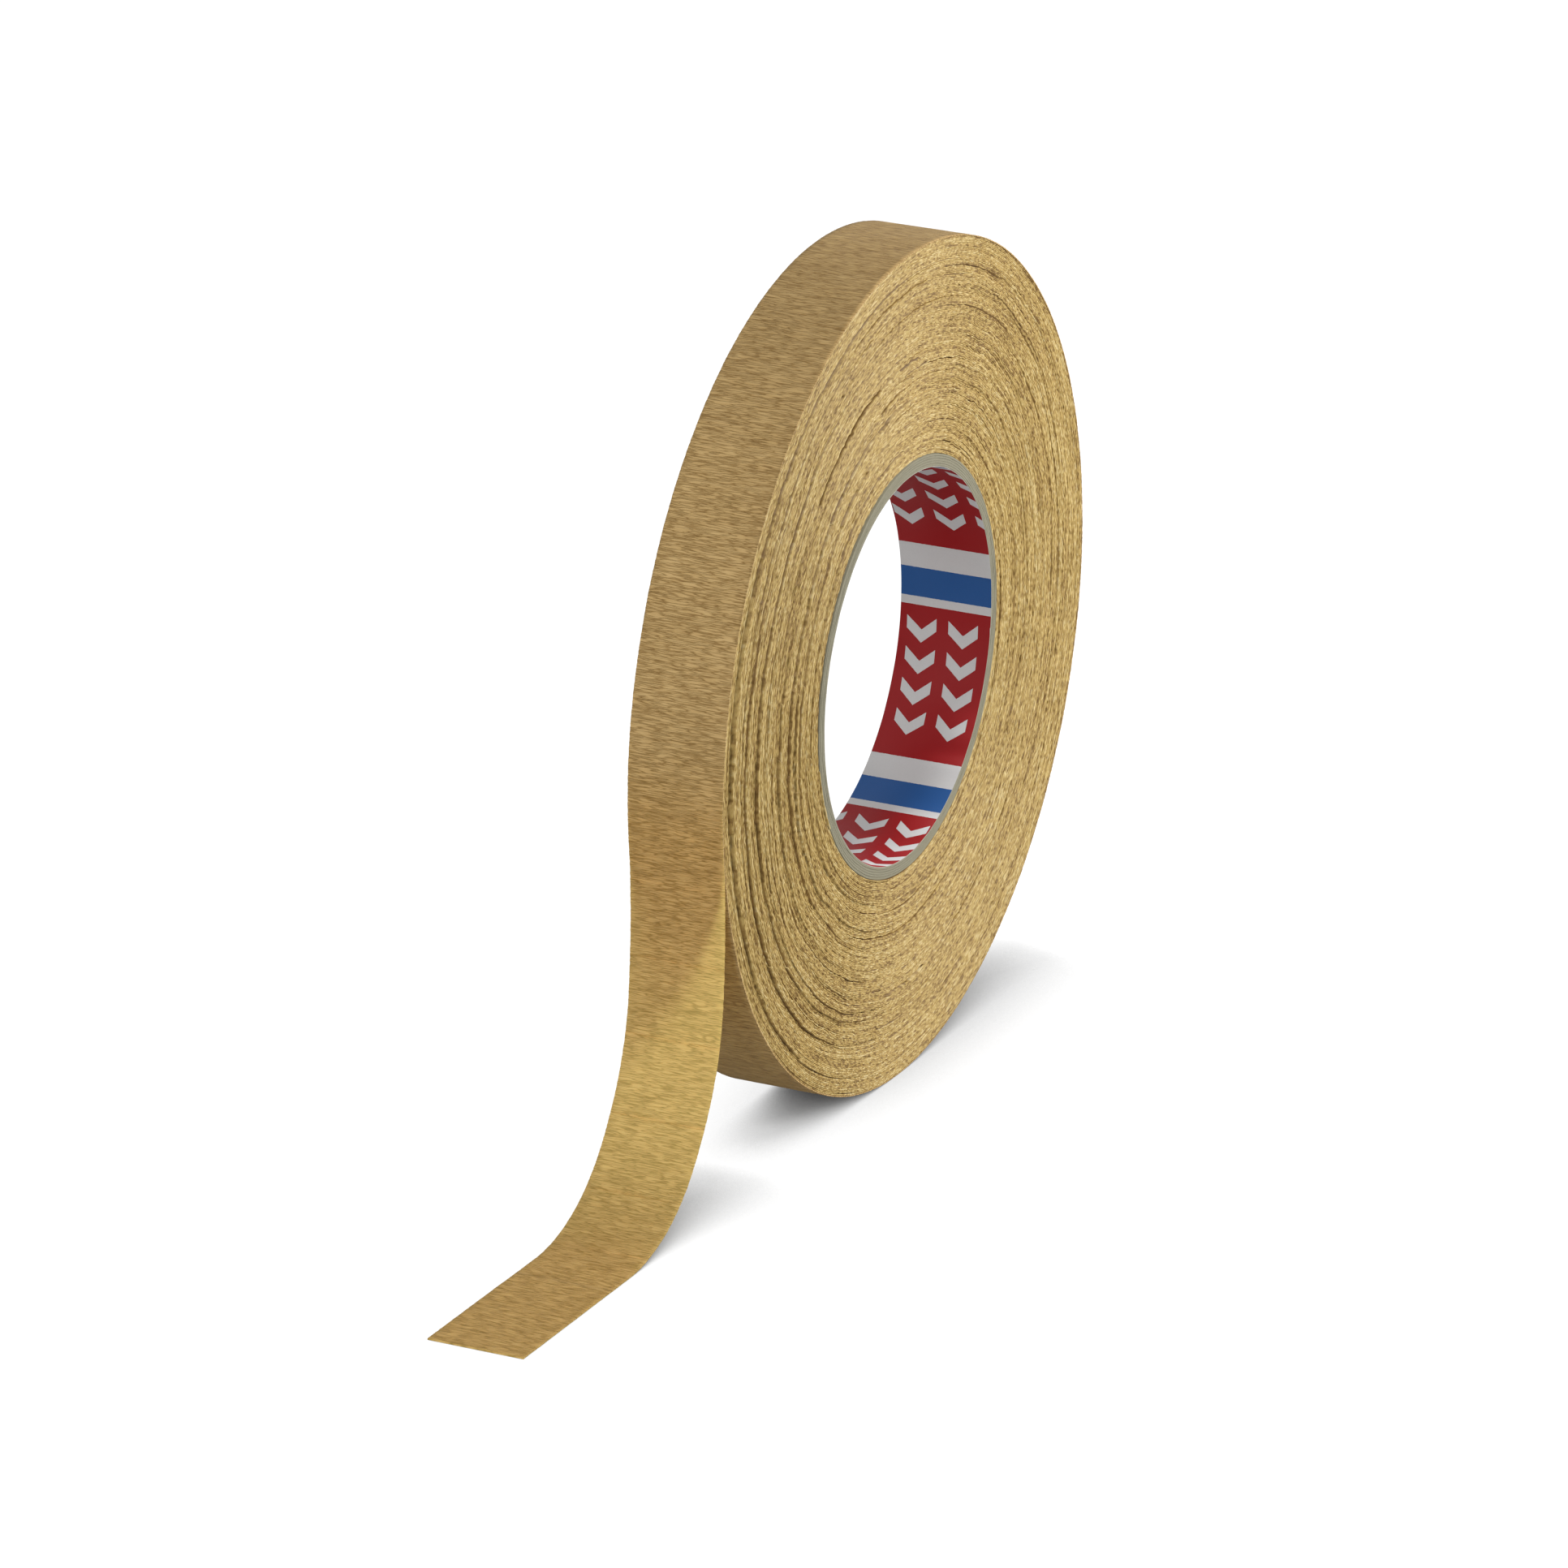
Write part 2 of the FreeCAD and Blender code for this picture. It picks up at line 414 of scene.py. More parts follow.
def adhesive_material():
    """The sticky side: the same paper under a thin coat with a soft uneven shine."""
    shader = Shader("adhesive")
    colour, height = crepe_surface(shader, *ADHESIVE_TONES)
    patch = shader.noise(shader.attribute_vector("lay"), 260, detail=3.0, roughness=0.6)
    shine = shader.from_level(0.22, patch, 0.3)
    shader.finish(colour, shine, shader.bump(height, 0.10 * MM, 0.6), specular=0.45)
    let_light_through(shader, colour, ADHESIVE_GLOW, LIGHT_THROUGH)
    return shader.material


def board_material():
    """Grey board: short fibres, flecks, and faint streaks where the core was cut."""
    shader = Shader("grey_board")
    x, y, z = shader.split(shader.position)
    angle = shader.math("ARCTAN2", z, x)
    place = shader.join(shader.math("MULTIPLY", angle, 60.0), y, 0.0)
    streak = shader.noise(place, 4.0, detail=3.0, roughness=0.6)
    fibre = fibre_noise(shader, 1800)
    colour = shader.mix(fibre, linear(130, 126, 107), linear(164, 160, 140))
    colour = shader.mix(shader.math("MULTIPLY", streak, 0.45), colour, linear(92, 86, 64))
    return shader.finish(colour, 0.85, shader.bump(fibre, 0.10 * MM, 0.8), specular=0.12)


RED = linear(158, 6, 16)
BLUE = linear(30, 88, 154)
WHITE = linear(214, 214, 213)
PRINT_START = math.radians(18.6)
PRINT_PERIOD = math.radians(65.2)  # one white, blue, white and red run of bands
WHOLE_PERIODS = 8.0  # added to keep the places in the print above nought
BAND_JITTER = 0.006  # how ragged the bands' edges are, as a share of the period
WHITE_BAND, BLUE_BAND, NARROW_BAND = math.radians(8.0), math.radians(9.3), math.radians(2.5)
CHEVRON_COUNT = 4
CHEVRONS_FROM, CHEVRONS_TO = 0.345, 0.905  # shares of the period that the chevrons fill
COLUMN_PITCH = 8.7 * MM
COLUMN_DRIFT = 2.2 * MM  # sideways, from one red panel to the next
COLUMN_ORIGIN = WHOLE_PERIODS + 0.62  # the place in the print where the columns haven't drifted
CHEVRON_HALF_WIDTH = 3.1 * MM
CHEVRON_RISE = 0.42  # shares of a chevron's cell, as the stroke is
CHEVRON_STROKE = 0.21
SCUFF = linear(96, 84, 74)


def chevrons(shader, place, turned, y):
    """1 on the chevrons and 0 beside them: place is a share of the print's period, turned counts periods."""
    cells = shader.math("DIVIDE", shader.math("SUBTRACT", place, CHEVRONS_FROM), CHEVRONS_TO - CHEVRONS_FROM)
    inside = shader.math("MULTIPLY", shader.math("GREATER_THAN", cells, 0.0), shader.math("LESS_THAN", cells, 1.0))
    along = shader.math("FRACT", shader.math("MULTIPLY", cells, float(CHEVRON_COUNT)))
    along = shader.math("SUBTRACT", along, 0.5)
    drift = shader.math("MULTIPLY", shader.math("SUBTRACT", turned, COLUMN_ORIGIN), COLUMN_DRIFT)
    column = shader.math("DIVIDE", shader.math("ADD", y, drift), COLUMN_PITCH)
    column = shader.math("FRACT", shader.math("ADD", column, WHOLE_PERIODS))
    across = shader.math("MULTIPLY", shader.math("ABSOLUTE", shader.math("SUBTRACT", column, 0.5)), COLUMN_PITCH)
    reach = shader.math("DIVIDE", across, CHEVRON_HALF_WIDTH)
    bend = shader.math("MULTIPLY", shader.math("SUBTRACT", reach, 0.5), CHEVRON_RISE)
    stroke = shader.math("ABSOLUTE", shader.math("ADD", along, bend))
    shape = shader.math("MULTIPLY", shader.math("LESS_THAN", stroke, CHEVRON_STROKE),
                        shader.math("LESS_THAN", reach, 1.0))
    return shader.math("MULTIPLY", shape, inside)


def liner_material():
    """The printed liner: bands of red, white and blue across the core, with plain chevrons on the red."""
    shader = Shader("printed_liner")
    x, y, z = shader.split(shader.position)
    angle = shader.math("ARCTAN2", z, x)
    grain = fibre_noise(shader, 2200)
    jitter = shader.math("MULTIPLY", shader.math("SUBTRACT", grain, 0.5), BAND_JITTER)
    turned = shader.math("DIVIDE", shader.math("SUBTRACT", PRINT_START, angle), PRINT_PERIOD)
    turned = shader.math("ADD", shader.math("ADD", turned, jitter), WHOLE_PERIODS)
    place = shader.math("FRACT", turned)
    starts = np.cumsum([WHITE_BAND, BLUE_BAND, NARROW_BAND]) / PRINT_PERIOD
    bands = [(0.0, WHITE), (starts[0], BLUE), (starts[1], WHITE), (starts[2], RED)]
    colour = shader.ramp(place, bands, "CONSTANT")
    colour = shader.mix(chevrons(shader, place, turned, y), colour, WHITE)
    colour = shader.mix(shader.math("MULTIPLY", grain, 0.14), colour, SCUFF)
    rough = shader.from_level(0.42, grain, 0.2)
    return shader.finish(colour, rough, shader.bump(grain, 0.04 * MM, 0.4), specular=0.25)


def liner_edge_material():
    """The liner's cut edge and back: plain pale paper."""
    shader = Shader("liner_paper")
    grain = fibre_noise(shader, 2400)
    colour = shader.mix(grain, linear(150, 146, 130), linear(190, 186, 172))
    return shader.finish(colour, 0.8, shader.bump(grain, 0.04 * MM, 0.5), specular=0.15)


# ---------------------------------------------------------------- the path of the tail

def joint_point(name):
    """A joint's place in the roll's middle plane."""
    return Vector(JOINTS[name]["pos_m"])


TAIL_JOINTS = [j["name"] for j in frame["joints"] if j["child"].startswith("tail_")]
TAIL_LINKS = [j["child"] for j in frame["joints"] if j["child"].startswith("tail_")]


def normal_at(heading):
    """The tape's outer normal where it runs at heading, an angle from straight down towards -X."""
    return Vector((-math.cos(heading), 0, math.sin(heading)))


def tail_arcs():
    """The tail's path as arcs between its hinges: (start, heading, turn, length) of each link."""
    hinges = [joint_point(name) for name in TAIL_JOINTS]
    first = hinges[0]
    heading = math.atan2(first.z, -first.x)
    arcs = []
    for start, end in zip(hinges, hinges[1:]):
        chord = end - start
        chord_heading = math.atan2(-chord.x, -chord.z)
        turn = 2 * (chord_heading - heading)
        bend_radius = chord.length / (2 * math.sin(turn / 2))
        arcs.append((start, heading, turn, bend_radius * turn))
        heading += turn
    end_length = hinges[-1].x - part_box(f"{TAIL_LINKS[-1]}_backing")[0].x
    arcs.append((hinges[-1], heading, 0.0, end_length))
    return arcs


ARCS = tail_arcs()
STARTS = np.concatenate([[0], np.cumsum([a[3] for a in ARCS])])
PEEL_ANGLE = math.atan2(ARCS[0][0].z, ARCS[0][0].x) % math.tau
LEAD_RADIUS = ARCS[0][0].length
LEAD_SPAN = math.radians(28)
FEATHER = 0.012 * MM  # thickness of the lead's far edge, where it merges with the lap below
FEATHER_GAP = 0.004 * MM
FREEING_LENGTH = 30 * MM  # before the peel line, over which the tape starts to let light through


# ---------------------------------------------------------------- the wound laps

GAP_CLOSED = 0.01 * MM
GAP_OPEN = 0.19 * MM
GAP_THRESHOLD, GAP_RANGE = 0.28, 0.55  # of the noise that opens the gaps
CORE_OPENNESS, RIM_OPENNESS = 0.3, 0.1  # of the first and the last gap
PARTED_LAPS = {13: 0.8, 68: 0.8, 70: 0.9, 91: 1.0}  # gaps that stay open most of the way round, and how much
PARTED_ANGLE = math.radians(176)  # the side of the roll on which the laps stand open most
STRAND_LAPS = 4.8
LAYOUT_STEPS = 1440

# Depths below the edges of the laps.
FULL_SHADE_DEPTH = 0.30 * MM  # how far down between two laps the painted shade is full
CREVICE_DEPTH = 0.08 * MM
PINCH_DEPTH = 0.14 * MM
OPEN_GAP_DEPTH = 0.55 * MM

# Heights of the edges of the laps above the side of the roll.
LOWEST_EDGE, HIGHEST_EDGE = -0.6 * MM, 0.45 * MM
MEAN_EDGE = -0.05 * MM
CALM_LAPS = 5  # laps next to the outer lap over which the heights fade
EDGE_INSET = 0.2  # of a lap's thickness, from its faces to the top of its edge
EDGE_LEAN = 0.035 * MM
ROWS_PER_LAP = 3  # one at the bottom of the gap, two on the lap's edge
FRONT_SEED, BACK_SEED = 100, 300


def parted_share(angle):
    """1 on the side of the roll where the laps stand open most, falling to 0 opposite."""
    return (0.5 + 0.5 * np.cos(angle - PARTED_ANGLE)) ** 2.5


def strand_of(lap, angle):
    """The number of the bundle of laps that a lap belongs to: laps that slid sideways together."""
    return np.floor(lap / STRAND_LAPS + 0.5 * around(angle, LAP_RADIUS, 60 * MM, lap / 30, 24))


def gap_openness():
    """How far each boundary between laps stands open, 0 to 1, at even steps round the roll."""
    angle = np.arange(LAYOUT_STEPS) * math.tau / LAYOUT_STEPS
    parted = parted_share(angle)
    rows = []
    for gap in range(LAP_COUNT + 1):
        radius = CORE_RADIUS + gap * LAP_PITCH
        long_part = around(angle, radius, 48 * MM, float(gap), 21)
        short_part = around(angle, radius, 9 * MM, float(gap), 22)
        group = around(angle, radius, 70 * MM, gap / 9.0, 23)
        between_strands = strand_of(gap, angle) != strand_of(gap - 1, angle)
        value = 0.6 * long_part + 0.4 * short_part + 0.2 * group + 0.6 * PARTED_LAPS.get(gap, 0.0)
        value = value + (0.90 - 0.20 * parted) * between_strands - 0.8 * (1 - parted)
        rows.append(np.clip((value - GAP_THRESHOLD) / GAP_RANGE, 0, 1))
    return np.array(rows)


def lap_layout():
    """Inner and outer radius of every lap round the roll: the laps share the room that the open gaps leave."""
    openness = gap_openness()
    openness[0], openness[-1] = CORE_OPENNESS, RIM_OPENNESS
    gaps = GAP_CLOSED + (GAP_OPEN - GAP_CLOSED) * openness
    room = LAP_PITCH * LAP_COUNT - gaps.sum(axis=0)
    lap_width = room / LAP_COUNT
    inner = CORE_RADIUS + np.cumsum(gaps[:-1], axis=0) + lap_width * np.arange(LAP_COUNT)[:, None]
    return openness, inner, inner + lap_width


OPENNESS, LAP_INNER, LAP_OUTER = lap_layout()


def at_angles(table_row, angle):
    """A row of the layout, read at any angles."""
    steps = np.arange(LAYOUT_STEPS + 1) * math.tau / LAYOUT_STEPS
    return np.interp(angle, steps, np.append(table_row, table_row[0]))


def lap_crinkle(lap, angle, seed):
    """The crepe wrinkles of a lap, seen at its edge. Laps that lie on each other share them."""
    radius = CORE_RADIUS + lap * LAP_PITCH
    fade = min(1.0, 0.3 + 4 * min(lap, LAP_COUNT - 1 - lap) / LAP_COUNT)
    nested = around(angle, radius, 1.05 * MM, lap / 3.2, seed) * 0.13 * MM
    own = around(angle, radius, 0.8 * MM, lap * 1.0, seed + 1) * 0.035 * MM
    return (nested + own) * fade


def lap_height(lap, angle, seed):
    """How far a lap's edge stands out or is sunk, against the nominal side of the roll."""
    radius = CORE_RADIUS + lap * LAP_PITCH
    slide = (0.20 + 0.22 * parted_share(angle)) * MM
    strand = around(angle, radius, 90 * MM, strand_of(lap, angle), seed) * slide
    group = around(angle, radius, 120 * MM, lap / 6.0, seed + 1) * 0.14 * MM
    single = around(angle, radius, 14 * MM, lap * 1.0, seed + 2) * 0.10 * MM
    bead = around(angle, radius, 0.8 * MM, lap * 1.0, seed + 3) * 0.06 * MM
    calm = min(1.0, (LAP_COUNT - lap) / CALM_LAPS)
    return np.clip(calm * (strand + group + single) + bead + MEAN_EDGE, LOWEST_EDGE, HIGHEST_EDGE)


def side_rows(laps, angle, seed):
    """Radius, height and share of painted gap shade of each row across a band of laps, for one side of the roll."""
    rows = []

    def top(lap):
        return lap_height(min(max(lap, 0), LAP_COUNT - 1), angle, seed + 5)

    for lap in range(laps[0], laps[-1] + 2):
        openness = at_angles(OPENNESS[lap], angle)
        pinch = np.clip(around(angle, LAP_RADIUS, 1.6 * MM, lap * 1.0, seed + 9) * 0.9 + 0.55, 0, 1)
        depth = CREVICE_DEPTH + PINCH_DEPTH * pinch + OPEN_GAP_DEPTH * openness
        below = at_angles(LAP_OUTER[lap - 1], angle) if lap else np.full_like(angle, CORE_RADIUS)
        above = at_angles(LAP_INNER[lap], angle) if lap < LAP_COUNT else LAP_RADIUS - TAPE_THICKNESS
        edge = lap_crinkle(lap - 1, angle, seed) / 2 + lap_crinkle(lap, angle, seed) / 2
        bottom = np.minimum(top(lap - 1), top(lap)) - depth
        middle = (below + above) / 2 + (edge if 0 < lap < LAP_COUNT else 0)
        # The third value is the share of painted shade, from the gap's depth.
        rows.append((middle, bottom, depth / FULL_SHADE_DEPTH))
        if lap <= laps[-1]:
            inner, outer = at_angles(LAP_INNER[lap], angle), at_angles(LAP_OUTER[lap], angle)
            inset = EDGE_INSET * (outer - inner)
            lean = around(angle, LAP_RADIUS, 1.8 * MM, lap * 1.0, seed + 13) * EDGE_LEAN
            shift = lap_crinkle(lap, angle, seed)
            rows.append((inner + inset + shift, top(lap) + lean, np.zeros_like(angle)))
            rows.append((outer - inset + shift, top(lap) - lean, np.zeros_like(angle)))
    return [np.array(part) for part in zip(*rows)]


def lap_tone_and_glints(laps, angle, radius, row_count):
    """How light each row is on a band of laps, 0 to 1: long streaks and short dashes along each lap, the bright
    dashes painting glints as well as the paper's uneven tone.
    """
    row_lap = np.arange(row_count)[None, :] / ROWS_PER_LAP + laps[0]
    angle = angle[:, None]
    patch = around(angle, radius, 12 * MM, row_lap / 1.5, 77)
    streak = around(angle, radius, 22 * MM, np.floor(row_lap), 79)
    # Painted glints: short bright dashes along each lap, which also vary the paper's tone.
    tone_and_glint_dash = around(angle, radius, 0.6 * MM, np.floor(row_lap), 78)
    return np.clip(0.5 + 0.06 * patch + 0.28 * streak + 0.48 * tone_and_glint_dash, 0, 1)


def lap_band(number, material):
    """A ring of neighbouring laps, with both of its sides, as one closed mesh."""
    edges = np.linspace(0, LAP_COUNT, BAND_COUNT + 1).round().astype(int)
    laps = range(edges[number], edges[number + 1])
    middle = CORE_RADIUS + (laps[0] + laps[-1] + 1) / 2 * LAP_PITCH
    count = BAKE_FOLDS * round(math.tau * middle / EDGE_STEP / BAKE_FOLDS)
    angle = np.arange(count) * math.tau / count
    front_radius, front_height, front_painted_shade = side_rows(laps, angle, FRONT_SEED)
    back_radius, back_height, back_painted_shade = side_rows(laps, angle, BACK_SEED)
    front = on_circle(front_radius, angle, -HALF_WIDTH - front_height)
    back = on_circle(back_radius, angle, HALF_WIDTH + back_height)[::-1]
    points = np.concatenate([front, back]).transpose(1, 0, 2)
    mesh = grid_mesh(f"lap_band_{number + 1}", points, True, True, BAKE_FOLDS)
    set_attribute(mesh, "painted_gap_shade", np.concatenate([front_painted_shade, back_painted_shade[::-1]]).T)
    set_attribute(mesh, "tone_and_glint", lap_tone_and_glints(laps, angle, middle, points.shape[1]))
    return add_piece(f"lap_band_{number + 1}", mesh, [material], ["wound_tape"], "roll")


# ---------------------------------------------------------------- the tape's face

LAP_LENGTH = math.tau * LAP_RADIUS


def lengthwise(along, size, row, seed):
    """Noise along the tape, with features about size long, that repeats after one outer lap."""
    return around(along / LAP_RADIUS, LAP_RADIUS, size, row, seed)


def crepe(along, across):
    """The crepe's height, 0 to 1: short creases that run across the tape."""
    bow = lengthwise(along, 4 * MM, across / (5 * MM), 40) * 0.35 * MM
    main = lengthwise(along + bow, 0.42 * MM, across / (2.6 * MM), 41)
    fine = lengthwise(along + bow, 0.30 * MM, across / (2.2 * MM), 42)
    swell = lengthwise(along + bow, 1.5 * MM, across / (4 * MM), 43)
    strength = 0.85 + 0.15 * lengthwise(along, 3 * MM, across / (4 * MM), 44)
    return np.clip(0.55 + (0.45 * main + 0.2 * fine) * strength + 0.04 * swell, 0, 1)


def ragged(along, row, seed):
    """How far the slit edge of the tape strays from straight."""
    return (lengthwise(along, 0.4 * MM, row, seed) * 0.035 + lengthwise(along, 5 * MM, row, seed + 1) * 0.02) * MM


def strip_points(middle, outward, along, thickness, rows_under):
    """Closed cross-sections of the tape along a path in the middle plane, with wrinkle values and places.

    middle and outward hold the path's points and normals, thickness the tape's at each point, and along the
    distance past the peel line. The last result is where each point would lie on the wound roll."""
    place, height = [], []
    left, right = -HALF_WIDTH + ragged(along, 0.0, 60), HALF_WIDTH + ragged(along, 5.0, 64)
    for rows, face in ((SHEET_ROWS, 1), (rows_under, -1)):
        share = np.linspace(-1, 1, rows) * face
        side = (left + right)[:, None] / 2 + (right - left)[:, None] / 2 * share[None, :]
        wrinkle = crepe(along[:, None], side)
        if face > 0:
            relief = np.minimum(CREPE_HEIGHT, 0.8 * thickness)
        else:
            relief = CREPE_HEIGHT * UNDERSIDE_RELIEF * thickness / TAPE_THICKNESS
        rise = (wrinkle - 1) * relief[:, None]
        offset = face * thickness[:, None] / 2 + rise
        point = middle[:, None, :] + outward[:, None, :] * offset[..., None]
        point[..., 1] = side
        place.append(point)
        height.append(wrinkle)
    points = np.concatenate(place, axis=1)
    lay = on_circle(LAP_RADIUS, PEEL_ANGLE + along[:, None] / LAP_RADIUS, points[..., 1])
    return points, np.concatenate(height, axis=1), lay


def strip_mesh(name, points, wrinkle, lay, along, closed, under_rows):
    """The mesh of a strip, its inner side in the second material."""
    folds = BAKE_FOLDS if closed else 1
    mesh = grid_mesh(name, points, closed, True, folds, caps=not closed)
    set_attribute(mesh, "wrinkle", wrinkle)
    free = np.zeros_like(along) if closed else np.clip(1 + along / FREEING_LENGTH, 0, 1)
    set_attribute(mesh, "free", np.broadcast_to(eased(free)[:, None], wrinkle.shape))
    attribute = mesh.attributes.new("lay", "FLOAT_VECTOR", "POINT")
    attribute.data.foreach_set("vector", lay.astype(np.float32).ravel())
    rows = SHEET_ROWS + under_rows
    quads = rows * (points.shape[0] - (0 if closed else 1))
    row = np.arange(quads) % rows
    side = np.zeros(len(mesh.polygons), np.int32)
    side[:quads] = (row >= SHEET_ROWS) & (row < rows - 1)
    mesh.polygons.foreach_set("material_index", side)
    return mesh


def outer_lap(materials):
    """The last lap on the roll, closed to a ring."""
    count = BAKE_FOLDS * round(LAP_LENGTH / LAP_STEP / BAKE_FOLDS)
    angle = PEEL_ANGLE + np.arange(count) * math.tau / count
    outward = on_circle(1.0, angle, 0.0)
    middle = outward * (LAP_RADIUS - TAPE_THICKNESS / 2)
    along = (angle - PEEL_ANGLE) * LAP_RADIUS
    thickness = np.full(count, TAPE_THICKNESS)
    points, wrinkle, lay = strip_points(middle, outward, along, thickness, HIDDEN_ROWS)
    mesh = strip_mesh("outer_lap_paper", points, wrinkle, lay, along, True, HIDDEN_ROWS)
    return add_piece("outer_lap_paper", mesh, materials, ["outer_lap"], "roll")


# ---------------------------------------------------------------- core

TUBE_STEPS = BAKE_FOLDS * 96
SOFT_EDGE = 0.04 * MM
BOARD_WOBBLE, LINER_WOBBLE = 0.04 * MM, 0.02 * MM  # how uneven the cut edges are
GLUE_SHARE = 0.015  # of a ply's room, taken by the glue line under it


def tube(name, inner, outer, materials, nodes, wobble, seed, rows=5):
    """A tube as wide as the tape, with softened and slightly uneven cut edges."""
    count = TUBE_STEPS
    angle = np.arange(count) * math.tau / count
    share = np.linspace(0, 1, rows)
    radius = inner + (outer - inner) * share
    soft = (1 - np.sin(math.pi * share) ** 0.35) * min(SOFT_EDGE, (outer - inner) * 0.3)
    profile = []
    for side, number in ((-1, 0), (1, 1)):
        uneven = around(angle[:, None], outer, 3 * MM, share[None, :] * 2 + 4 * number, seed) * wobble
        uneven = uneven + around(angle[:, None], outer, 40 * MM, number, seed + 1) * wobble
        place = on_circle(radius[None, :], angle[:, None], side * (HALF_WIDTH - soft[None, :] + uneven))
        profile.append(place if side < 0 else place[:, ::-1])
    points = np.concatenate(profile, axis=1)
    mesh = grid_mesh(name, points, True, True, BAKE_FOLDS)
    if len(materials) > 1:
        row = np.arange(len(mesh.polygons)) % (2 * rows)
        mesh.polygons.foreach_set("material_index", (row != 2 * rows - 1).astype(np.int32))
    return add_piece(name, mesh, materials, nodes, "roll")


def core():
    """The board plies and the printed liner inside them."""
    board = board_material()
    step = (CORE_RADIUS - LINER_RADIUS) / len(PLY_NAMES)
    for number, name in enumerate(PLY_NAMES, start=1):
        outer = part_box(name)[1].z
        inner = outer - step * (1 - GLUE_SHARE)
        tube(f"board_ply_{number}", inner, outer, [board], [name], BOARD_WOBBLE, 500 + number)
    materials = [liner_material(), liner_edge_material()]
    tube("printed_liner_tube", BORE_RADIUS, LINER_RADIUS, materials, ["core_liner"], LINER_WOBBLE, 520, rows=3)


# ---------------------------------------------------------------- lead and tail

def tape_path(along):
    """Middle point, outer normal and thickness of the tape at a distance past the peel line."""
    if along < 0:
        angle = PEEL_ANGLE + along / LEAD_RADIUS
        share = 1 + along / (LEAD_SPAN * LEAD_RADIUS)
        thickness = FEATHER + (TAPE_THICKNESS - FEATHER) * share
        start = LAP_RADIUS + FEATHER_GAP + FEATHER
        outer = start + (LEAD_RADIUS + TAPE_THICKNESS / 2 - start) * share
        outward = Vector((math.cos(angle), 0, math.sin(angle)))
        return outward * (outer - thickness / 2), outward, thickness
    number = min(int(np.searchsorted(STARTS, along, side="right")) - 1, len(ARCS) - 1)
    start, heading, turn, length = ARCS[number]
    distance = along - STARTS[number]
    if turn == 0:
        down = Vector((-math.sin(heading), 0, -math.cos(heading)))
        return start + down * distance, normal_at(heading), TAPE_THICKNESS
    bend_radius = length / turn
    centre = start + normal_at(heading) * bend_radius
    outward = normal_at(heading + turn * distance / length)
    return centre - outward * bend_radius, outward, TAPE_THICKNESS


def keep_normals(mesh, points):
    """Smooth normals, worked out from points with one more row at each end, so that joined strips look like one."""
    forward = points[2:] - points[:-2]
    sideways = np.roll(points, -1, axis=1) - np.roll(points, 1, axis=1)
    normals = np.cross(sideways[1:-1], forward)
    normals = (normals / np.linalg.norm(normals, axis=2, keepdims=True)).reshape(-1, 3)
    corners = np.zeros(len(mesh.loops), np.int32)
    mesh.loops.foreach_get("vertex_index", corners)
    loops = normals[corners]
    for cap in (mesh.polygons[-2], mesh.polygons[-1]):
        loops[list(cap.loop_indices)] = cap.normal
    mesh.normals_split_custom_set(loops.tolist())


def strip_piece(name, first, last, materials, nodes):
    """A length of the lead or the tail, from first to last along the tape, as a closed mesh."""
    steps = max(4, round((last - first) / TAIL_STEP))
    along = first + (last - first) * np.arange(-1, steps + 2) / steps
    middle, outward, thickness = (np.array(values) for values in zip(*(tape_path(a) for a in along)))
    along = np.where(along < 0, along * LAP_RADIUS / LEAD_RADIUS, along)
    points, wrinkle, lay = strip_points(middle, outward, along, thickness, SHEET_ROWS)
    mesh = strip_mesh(name, points[1:-1], wrinkle[1:-1], lay[1:-1], along[1:-1], False, SHEET_ROWS)
    keep_normals(mesh, points)
    return add_piece(name, mesh, materials, nodes)


def tail(materials):
    """The lead, and the tail cut in the middle of each link so that each length spans one hinge."""
    middles = [(STARTS[i] + STARTS[i + 1]) / 2 for i in range(len(ARCS) - 1)]
    lead_length = LEAD_SPAN * LEAD_RADIUS
    reach = middles[0]
    lead = strip_piece("lead_strip", -lead_length, -reach, materials, ["lead_backing", "lead_adhesive"])
    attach(lead, "lead")
    cuts = [-reach] + middles + [STARTS[-2] + reach]
    for number, (first, last) in enumerate(zip(cuts, cuts[1:])):
        link = TAIL_LINKS[number]
        piece = strip_piece(f"tail_strip_{number + 1}", first, last, materials,
                            [f"{link}_backing", f"{link}_adhesive"])
        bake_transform(piece)
    end_piece = strip_piece("tail_strip_end", cuts[-1], STARTS[-1], materials,
                            [f"{TAIL_LINKS[-1]}_backing", f"{TAIL_LINKS[-1]}_adhesive"])
    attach(end_piece, TAIL_LINKS[-1])


# ---------------------------------------------------------------- stage

CAMERA_PLACE = Vector((-1.52093, -0.67734, 0.54946))
CAMERA_TARGET = Vector((-0.01285, 0.00999, -0.02264))
CAMERA_ROLL = math.radians(1.49)
CAMERA_LENS = 213.47


def camera():
    """The camera, low and to the side of the tail."""
    data = bpy.data.cameras.new("camera")
    data.lens = CAMERA_LENS
    data.sensor_width = 36.0
    data.clip_end = 20.0
    view = bpy.data.objects.new("camera", data)
    bpy.context.scene.collection.objects.link(view)
    look = (CAMERA_TARGET - CAMERA_PLACE).to_track_quat("-Z", "Y").to_matrix().to_4x4()
    view.matrix_world = Matrix.Translation(CAMERA_PLACE) @ look @ Matrix.Rotation(CAMERA_ROLL, 4, "Z")
    bpy.context.scene.camera = view


def softbox(name, place, size, power):
    """A round white lamp that faces the middle of the roll."""
    data = bpy.data.lights.new(name, "AREA")
    data.shape = "DISK"
    data.size = size
    data.energy = power
    light = bpy.data.objects.new(name, data)
    bpy.context.scene.collection.objects.link(light)
    light.location = place
    light.rotation_euler = (-Vector(place)).to_track_quat("-Z", "Y").to_euler()


